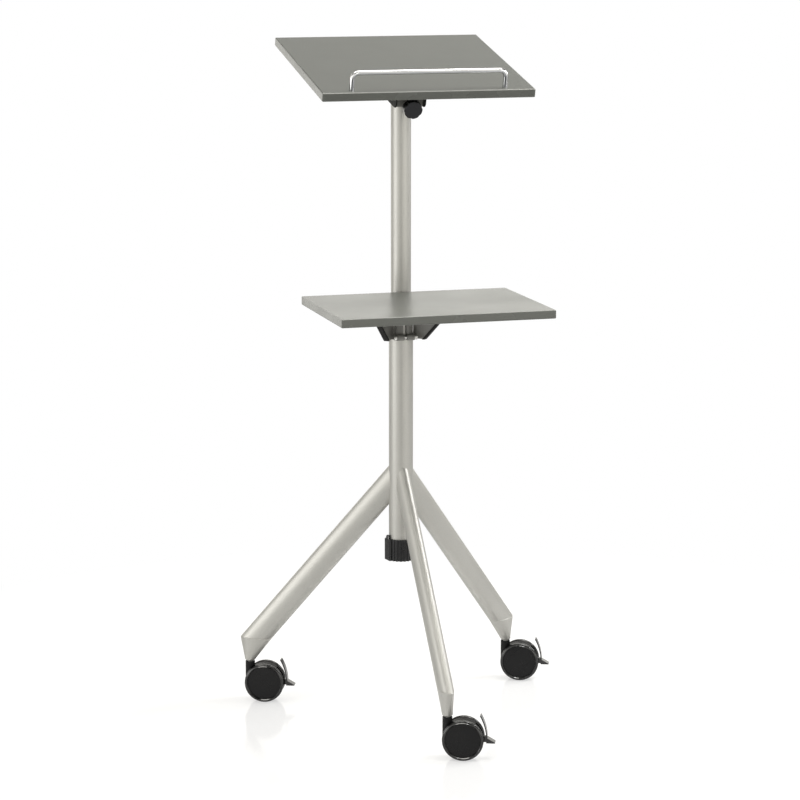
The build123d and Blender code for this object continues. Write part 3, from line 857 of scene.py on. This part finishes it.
@dataclass
class Tray:
    """The tilting tray with its stop bar, channel, pivot and knob."""

    depth_mm: float = 365.0
    thickness_mm: float = 16.0
    above_pivot_mm: float = 39.0
    round_mm: float = 2.0
    bar_diameter_mm: float = 9.0
    bar_span_mm: float = 288.0
    bar_height_mm: float = 38.0
    bar_bend_mm: float = 12.0
    bar_setback_mm: float = 11.0
    bar_tenon_mm: float = 6.0
    bar_bend_steps: int = 12
    bar_round_steps: int = 32
    bar_sharp: float = 50.0
    sheet_ease_mm: float = 0.6
    head_ease_mm: float = 0.8
    round_ease_mm: float = 1.2
    round_ease_steps: int = 3
    knob_face_cosine: float = 0.9
    pivot: dict = field(default_factory=lambda: joint("tray_tilt"))

    def place(self) -> Matrix:
        """The tray's own frame: its origin on the pivot, its third axis square to the board."""
        tilt = math.radians(-self.pivot["range_deg"][0])
        return Matrix.Translation(self.pivot["pos_m"]) @ Matrix.Rotation(tilt, 4, "X")

    def build(self) -> None:
        """Make every piece that tilts, and the head that it tilts on."""
        low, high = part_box("tray_board")
        size = Vector((high.x - low.x, self.depth_mm * MM, self.thickness_mm * MM))
        middle = Matrix.Translation((0, 0, (self.above_pivot_mm + self.thickness_mm / 2) * MM))
        board = slab("tray_board_finished", size, self.round_mm, self.place() @ middle)
        finished(board, GREY_LAMINATE, "tray", "tray_board")
        finished(self.stop_bar(), CHROME_PLATE, "tray", "stop_bar")
        # The channel's near-black is partly its dark paint and partly painted shade from the tray above it.
        finished(copy_of("tilt_channel", self.sheet_ease_mm), DARK_STEEL_AND_PAINTED_SHADE, "tray", "tilt_channel")
        finished(copy_of("clamp_bridge", self.sheet_ease_mm), DARK_CASTING, "tray", "clamp_bridge")
        bolt = copy_of("tilt_pivot_bolt", self.round_ease_mm, self.round_ease_steps)
        finished(bolt, ZINC_STEEL, "tray", "tilt_pivot_bolt")
        finished(copy_of("tilt_head", self.head_ease_mm), SILVER_COAT, "mast", "tilt_head")
        finished(copy_of("tilt_barrel", self.head_ease_mm), DARK_CASTING, "mast", "tilt_barrel")
        knob = copy_of("tilt_knob", self.round_ease_mm, self.round_ease_steps)
        facing = Vector(joint("knob_turn")["axis"])
        second_finish(
            knob, BLACK_NYLON, GRIP_NYLON, lambda _, normal: normal.dot(facing) > self.knob_face_cosine
        )
        finished(knob, BLACK_NYLON, "knob", "tilt_knob")

    def rod_tree(self) -> tuple[bpy.types.NodeTree, dict[str, str]]:
        """Make the geometry tree that bends a rod along a path.

        Returns:
            The tree, and the identifiers of its inputs by their names.
        """
        tree = bpy.data.node_groups.new("bent_rod", "GeometryNodeTree")
        kinds = {"Path": "Geometry", "Rod radius": "Float", "Bend radius": "Float", "Finish": "Material"}
        sockets = {}
        for name, kind in kinds.items():
            socket = tree.interface.new_socket(name, in_out="INPUT", socket_type=f"NodeSocket{kind}")
            sockets[name] = socket.identifier
        tree.interface.new_socket("Rod", in_out="OUTPUT", socket_type="NodeSocketGeometry")
        given = add_node(tree, "NodeGroupInput").outputs
        path = add_node(tree, "GeometryNodeMeshToCurve", {"Mesh": given["Path"]})
        bent = add_node(
            tree,
            "GeometryNodeFilletCurve",
            {"Curve": path.outputs[0], "Count": self.bar_bend_steps, "Radius": given["Bend radius"]},
            mode="POLY",
        )
        ring = add_node(
            tree,
            "GeometryNodeCurvePrimitiveCircle",
            {"Resolution": self.bar_round_steps, "Radius": given["Rod radius"]},
        )
        rod = add_node(
            tree,
            "GeometryNodeCurveToMesh",
            {"Curve": bent.outputs[0], "Profile Curve": ring.outputs[0], "Fill Caps": True},
        )
        real = add_node(tree, "GeometryNodeRealizeInstances", {"Geometry": rod.outputs[0]})
        dressed = add_node(
            tree, "GeometryNodeSetMaterial", {"Geometry": real.outputs[0], "Material": given["Finish"]}
        )
        add_node(tree, "NodeGroupOutput", {"Rod": dressed.outputs[0]})
        return tree, sockets

    def stop_bar(self) -> bpy.types.Object:
        """Sweep the bent rod along its path.

        Returns:
            The bar, in its place on the tray.
        """
        top = (self.above_pivot_mm + self.thickness_mm) * MM
        low = top - self.bar_tenon_mm * MM
        high = top + (self.bar_height_mm - self.bar_diameter_mm / 2) * MM
        half = self.bar_span_mm / 2 * MM
        depth = (self.bar_setback_mm - self.depth_mm / 2) * MM
        corners = [(-half, depth, low), (-half, depth, high), (half, depth, high), (half, depth, low)]
        mesh = bpy.data.meshes.new("stop_bar_path")
        mesh.from_pydata(corners, [(0, 1), (1, 2), (2, 3)], [])
        thing = new_object("stop_bar_finished", mesh)
        tree, sockets = self.rod_tree()
        shape = thing.modifiers.new("bent_rod", "NODES")
        shape.node_group = tree
        shape[sockets["Rod radius"]] = self.bar_diameter_mm / 2 * MM
        shape[sockets["Bend radius"]] = self.bar_bend_mm * MM
        shape[sockets["Finish"]] = CHROME_PLATE.material()
        settle(thing)
        thing.data.shade_smooth()
        thing.data.set_sharp_from_angle(angle=math.radians(self.bar_sharp))
        thing.data.transform(self.place())
        return thing


def set_ramp(node: bpy.types.Node, stops: Sequence[tuple[float, float]]) -> None:
    """Set a colour ramp's stops.

    Args:
        node: The ramp's node.
        stops: Position and grey level of each stop, in rising order.
    """
    elements = node.color_ramp.elements
    for _ in range(len(stops) - len(elements)):
        elements.new(stops[-1][0])
    for element, (position, level) in zip(elements, stops):
        element.position = position
        element.color = grey(level)


@dataclass(frozen=True)
class SoftBox:
    """A soft box: where it hangs, the point that it faces, its width and height, and its watts."""

    name: str
    place: tuple[float, float, float]
    target: tuple[float, float, float]
    size: tuple[float, float]
    watts: float

    def hang(self) -> None:
        """Add the lamp to the scene."""
        light = bpy.data.lights.new(self.name, "AREA")
        light.shape = "RECTANGLE"
        light.size, light.size_y = self.size
        light.energy = self.watts
        thing = bpy.data.objects.new(self.name, light)
        bpy.context.scene.collection.objects.link(thing)
        thing.location = self.place
        way = Vector(self.target) - Vector(self.place)
        thing.rotation_euler = way.to_track_quat("-Z", "Y").to_euler()


SOFT_BOXES = (
    SoftBox("left_box", (-3.0, -0.4, 0.7), (0, 0, 0.6), (2.2, 1.4), 21),
    SoftBox("top_box", (1.0, -0.9, 4.3), (0, 0, 0.4), (0.7, 0.7), 27),
    SoftBox("right_box", (2.7, 0.45, 1.6), (0, -0.1, 0.25), (0.6, 0.8), 17),
    SoftBox("right_top_box", (2.2, -0.3, 2.2), (0, -0.1, 0.3), (0.6, 0.6), 20),
)


@dataclass
class Studio:
    """The camera at the photograph's angle, a floor, soft boxes and a world.

    The camera sees a white floor and background. Reflections see a light tent instead, which draws
    the light and dark streaks on the tubes and the chrome, and a floor with a dark mat in front.
    Lengths are in metres. A direction is given by its turn from the front, in degrees in walls and in
    radians in dark_turn, and by its rise, the height of an arrow of length one. In walls, heights and
    floor_levels each place stands with its level. White is a level of one.
    """

    azimuth: float = -16.24
    distance: float = 5.0468
    height: float = 1.5702
    pitch: float = 10.73
    focal_px: float = 2698.5
    frame_px: float = 800.0
    axis_px: float = 400.9
    sensor_mm: float = 36.0

    floor_radius: float = 3.0
    floor_steps: int = 96
    floor_bounce: float = 0.9
    floor_gain: float = 1.5
    floor_gloss: float = 0.3
    floor_haze: float = 0.12
    shadow_share: float = 0.5
    shadow_reach: tuple[float, float] = (0.6, 1.4)
    floor_span: float = 1.5
    floor_levels: Sequence[tuple[float, float]] = (
        (-1.2, 0.52), (-0.5, 0.55), (0.1, 0.8), (0.5, 0.5), (0.9, 0.3),
    )
    mat_middle: tuple[float, float] = (-0.6, -2.35)
    mat_half: tuple[float, float] = (0.75, 0.4)
    mat_edge: float = 0.2
    mat_depth: float = 0.92

    fill_level: float = 0.58
    wall_level: float = 1.75
    wall_colour: str = "#FFFDF7"
    walls: Sequence[tuple[float, float]] = (
        (-180, 1.3), (-162, 1.2), (-151, 0.45), (-122, 0.5), (-102, 1.1), (-66, 1.1), (-38, 1.1),
        (-22, 1.2), (-17, 0.08), (-7, 0.08), (-2, 1.7), (9, 1.7), (13, 0.9), (20, 0.9), (24, 1.8),
        (44, 1.5), (70, 0.55), (132, 0.28), (146, 1.0), (176, 1.0), (180, 1.3),
    )
    heights: Sequence[tuple[float, float]] = (
        (-0.3, 0.75), (-0.06, 0.75), (0.04, 1.0), (0.24, 1.0), (0.55, 0.2), (0.66, 0.2), (0.84, 0.8),
    )
    dark_rise: tuple[float, float] = (-0.12, -0.02)
    dark_turn: tuple[float, float] = (2.0, 2.6)
    dark_depth: float = 0.75
    strip_level: float = 8.0
    strip_half: tuple[float, float] = (0.12, 0.2)
    strip_rise: tuple[float, float] = (0.82, 0.88)

    def camera(self) -> None:
        """Make the camera."""
        lens = bpy.data.cameras.new("camera")
        lens.sensor_width = self.sensor_mm
        lens.lens = self.focal_px / self.frame_px * self.sensor_mm
        lens.shift_x = (self.frame_px / 2 - self.axis_px) / self.frame_px
        lens.dof.use_dof = False
        thing = bpy.data.objects.new("camera", lens)
        bpy.context.scene.collection.objects.link(thing)
        turn = math.radians(self.azimuth)
        away = Vector((math.sin(turn), -math.cos(turn), 0)) * self.distance
        thing.location = axis_of("lower_column") + away + Vector((0, 0, self.height))
        thing.rotation_euler = (math.radians(90 - self.pitch), 0, turn)
        bpy.context.scene.camera = thing

    def mirrored_floor(
        self, tree: bpy.types.NodeTree, where: bpy.types.NodeSocket
    ) -> bpy.types.NodeSocket:
        """Level of the floor in reflections: it changes from front to back, and has a dark mat.

        Args:
            tree: The floor's tree.
            where: The place on the floor.

        Returns:
            The level's socket.
        """
        add = partial(add_node, tree)
        spot = add("ShaderNodeSeparateXYZ", {0: where}).outputs
        span = self.floor_span
        share = add("ShaderNodeMapRange", {"Value": spot["Y"], "From Min": -span, "From Max": span})
        tone = add("ShaderNodeValToRGB", {0: share.outputs[0]})
        set_ramp(tone, [((y + span) / (2 * span), level) for y, level in self.floor_levels])
        mat = self.mat_depth
        for axis, middle, half in zip("XY", self.mat_middle, self.mat_half):
            apart = add("ShaderNodeMath", {0: spot[axis], 1: middle}, operation="SUBTRACT")
            apart = add("ShaderNodeMath", {0: apart.outputs[0]}, operation="ABSOLUTE")
            edge = {"From Min": half, "From Max": half + self.mat_edge, "To Min": 1.0, "To Max": 0.0}
            within = add("ShaderNodeMapRange", {"Value": apart.outputs[0], **edge})
            mat = add("ShaderNodeMath", {0: mat, 1: within.outputs[0]}, operation="MULTIPLY").outputs[0]
        bare = add("ShaderNodeMath", {0: 1.0, 1: mat}, operation="SUBTRACT")
        level = add("ShaderNodeMath", {0: tone.outputs[0], 1: bare.outputs[0]}, operation="MULTIPLY")
        return level.outputs[0]

    def floor_material(self) -> bpy.types.Material:
        """Make the floor white but for soft shadows and a faint reflection near the stand.

        Returns:
            The material.
        """
        made = bpy.data.materials.new("white_studio_floor")
        made.use_nodes = True
        tree = made.node_tree
        tree.nodes.clear()
        add = partial(add_node, tree)
        rays = add("ShaderNodeLightPath").outputs
        seen = rays["Is Camera Ray"]
        for kind in ("Is Glossy Ray", "Is Transmission Ray"):
            seen = add("ShaderNodeMath", {0: seen, 1: rays[kind]}, operation="MAXIMUM").outputs[0]
        where = add("ShaderNodeTexCoord").outputs["Object"]
        reach = add("ShaderNodeVectorMath", {0: where}, operation="LENGTH")
        start, end = self.shadow_reach
        fade = {"From Min": start, "From Max": end, "To Min": self.shadow_share, "To Max": 0.0}
        near = add("ShaderNodeMapRange", {"Value": reach.outputs["Value"], **fade})
        plain = add("ShaderNodeBsdfDiffuse", {"Color": grey(self.floor_bounce)})
        lit = add("ShaderNodeBsdfDiffuse", {"Color": grey(self.floor_gain)})
        gloss = add("ShaderNodeBsdfGlossy", {"Roughness": self.floor_haze})
        polished = add(
            "ShaderNodeMixShader", {0: self.floor_gloss, 1: lit.outputs[0], 2: gloss.outputs[0]}
        )
        mirrored = self.mirrored_floor(tree, where)
        strength = add(
            "ShaderNodeMix", {0: rays["Is Glossy Ray"], NUMBER_A: 1.0, NUMBER_B: mirrored}, data_type="FLOAT"
        )
        white = add("ShaderNodeEmission", {"Color": WHITE, "Strength": strength.outputs[0]})
        shown = add(
            "ShaderNodeMixShader", {0: near.outputs[0], 1: white.outputs[0], 2: polished.outputs[0]}
        )
        surface = add("ShaderNodeMixShader", {0: seen, 1: plain.outputs[0], 2: shown.outputs[0]})
        add("ShaderNodeOutputMaterial", {"Surface": surface.outputs[0]})
        return made

    def floor(self) -> None:
        """Lay the round floor."""
        work = bmesh.new()
        bmesh.ops.create_circle(work, cap_ends=True, segments=self.floor_steps, radius=self.floor_radius)
        thing = new_object("floor", mesh_from(work, "floor"))
        thing.data.materials.append(self.floor_material())

    def tent(self, tree: bpy.types.NodeTree, way: bpy.types.NodeOutputs) -> bpy.types.NodeSocket:
        """Level of the light tent: its walls, a dark patch low at the back and a strip overhead.

        Args:
            tree: The world's tree.
            way: The direction, as sockets X, Y and Z.

        Returns:
            The level's socket.
        """
        add = partial(add_node, tree)
        front = add("ShaderNodeMath", {0: way["Y"], 1: -1.0}, operation="MULTIPLY")
        turn = add("ShaderNodeMath", {0: way["X"], 1: front.outputs[0]}, operation="ARCTAN2").outputs[0]
        level = self.wall_level
        for value, limit, span, stops in (
            (turn, math.pi, 180, self.walls), (way["Z"], 1.0, 1, self.heights),
        ):
            share = add("ShaderNodeMapRange", {"Value": value, "From Min": -limit, "From Max": limit})
            tone = add("ShaderNodeValToRGB", {0: share.outputs[0]})
            set_ramp(tone, [((place + span) / (2 * span), grade) for place, grade in stops])
            level = add("ShaderNodeMath", {0: level, 1: tone.outputs[0]}, operation="MULTIPLY").outputs[0]

        start, end = self.dark_rise
        fade = {"From Min": start, "From Max": end, "To Min": 1.0, "To Max": 0.0}
        low = add("ShaderNodeMapRange", {"Value": way["Z"], **fade})
        start, end = self.dark_turn
        fade = {"From Min": start, "From Max": end, "To Min": 0.0, "To Max": self.dark_depth}
        back = add("ShaderNodeMapRange", {"Value": turn, **fade})
        dark = add("ShaderNodeMath", {0: low.outputs[0], 1: back.outputs[0]}, operation="MULTIPLY")
        kept = add("ShaderNodeMath", {0: 1.0, 1: dark.outputs[0]}, operation="SUBTRACT")
        level = add("ShaderNodeMath", {0: level, 1: kept.outputs[0]}, operation="MULTIPLY")

        depth = add("ShaderNodeMath", {0: way["Y"]}, operation="ABSOLUTE")
        start, end = self.strip_half
        fade = {"From Min": start, "From Max": end, "To Min": self.strip_level, "To Max": 0.0}
        thin = add("ShaderNodeMapRange", {"Value": depth.outputs[0], **fade})
        start, end = self.strip_rise
        high = add("ShaderNodeMapRange", {"Value": way["Z"], "From Min": start, "From Max": end})
        strip = add("ShaderNodeMath", {0: thin.outputs[0], 1: high.outputs[0]}, operation="MULTIPLY")
        both = add("ShaderNodeMath", {0: level.outputs[0], 1: strip.outputs[0]}, operation="ADD")
        return both.outputs[0]

    def world(self) -> None:
        """Show white to the camera, the tent to reflections and an even fill to everything else."""
        world = bpy.data.worlds.new("studio")
        bpy.context.scene.world = world
        world.use_nodes = True
        tree = world.node_tree
        tree.nodes.clear()
        add = partial(add_node, tree)
        rays = add("ShaderNodeLightPath").outputs
        direct = {0: rays["Is Camera Ray"], 1: rays["Is Transmission Ray"]}
        seen = add("ShaderNodeMath", direct, operation="MAXIMUM").outputs[0]
        way = add("ShaderNodeTexCoord").outputs["Generated"]
        tent = self.tent(tree, add("ShaderNodeSeparateXYZ", {0: way}).outputs)
        levels = {0: rays["Is Glossy Ray"], NUMBER_A: self.fill_level, NUMBER_B: tent}
        unseen = add("ShaderNodeMix", levels, data_type="FLOAT")
        levels = {0: seen, NUMBER_A: unseen.outputs[0], NUMBER_B: 1.0}
        level = add("ShaderNodeMix", levels, data_type="FLOAT")
        colours = {0: seen, COLOUR_A: linear(self.wall_colour), COLOUR_B: WHITE}
        tint = add("ShaderNodeMix", colours, data_type="RGBA").outputs[MIXED_COLOUR]
        light = add("ShaderNodeBackground", {"Color": tint, "Strength": level.outputs[0]})
        add("ShaderNodeOutputWorld", {"Surface": light.outputs[0]})

    def build(self) -> None:
        """Set up the whole studio."""
        bpy.context.scene.view_settings.view_transform = "Standard"
        self.camera()
        self.floor()
        self.world()
        for box in SOFT_BOXES:
            box.hang()


def write_sizes() -> None:
    """Bring the view layer up to date."""
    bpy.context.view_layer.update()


def main() -> None:
    """Build and dress the stand, then the studio round it."""
    for assembly in (Column(), Legs(), Castors(), Shelf(), Tray()):
        LOG.info("building %s", type(assembly).__name__)
        assembly.build()
    Studio().build()
    write_sizes()


if __name__ == "__main__":
    main()
